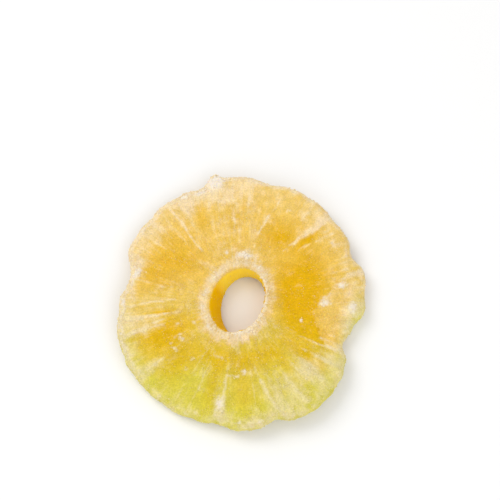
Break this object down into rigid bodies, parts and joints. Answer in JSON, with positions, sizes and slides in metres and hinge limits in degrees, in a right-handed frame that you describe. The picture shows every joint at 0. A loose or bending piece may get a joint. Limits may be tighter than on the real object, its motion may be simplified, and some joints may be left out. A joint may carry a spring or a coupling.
{
  "type": "dried pineapple ring",
  "caption": "Dried, candied pineapple ring: a flat, slightly warped round slice with an oval core hole, a lobed rim and raised radial fibres under sugar.",
  "frame": {"origin": "on the surface that the ring lies on, under the middle of the ring's outline", "axes": "+Z up out of the sugared upper face, along the thickness; +Y along the ring's longest width; +X to the right as the ring is seen from above with +Y up"},
  "size_m": [0.076, 0.083, 0.0087],
  "materials": {
    "candied_flesh": "satin",
    "sugar": "matte"
  },
  "bodies": {
    "root": {"pineapple_ring": "candied_flesh"}
  },
  "joints": []
}
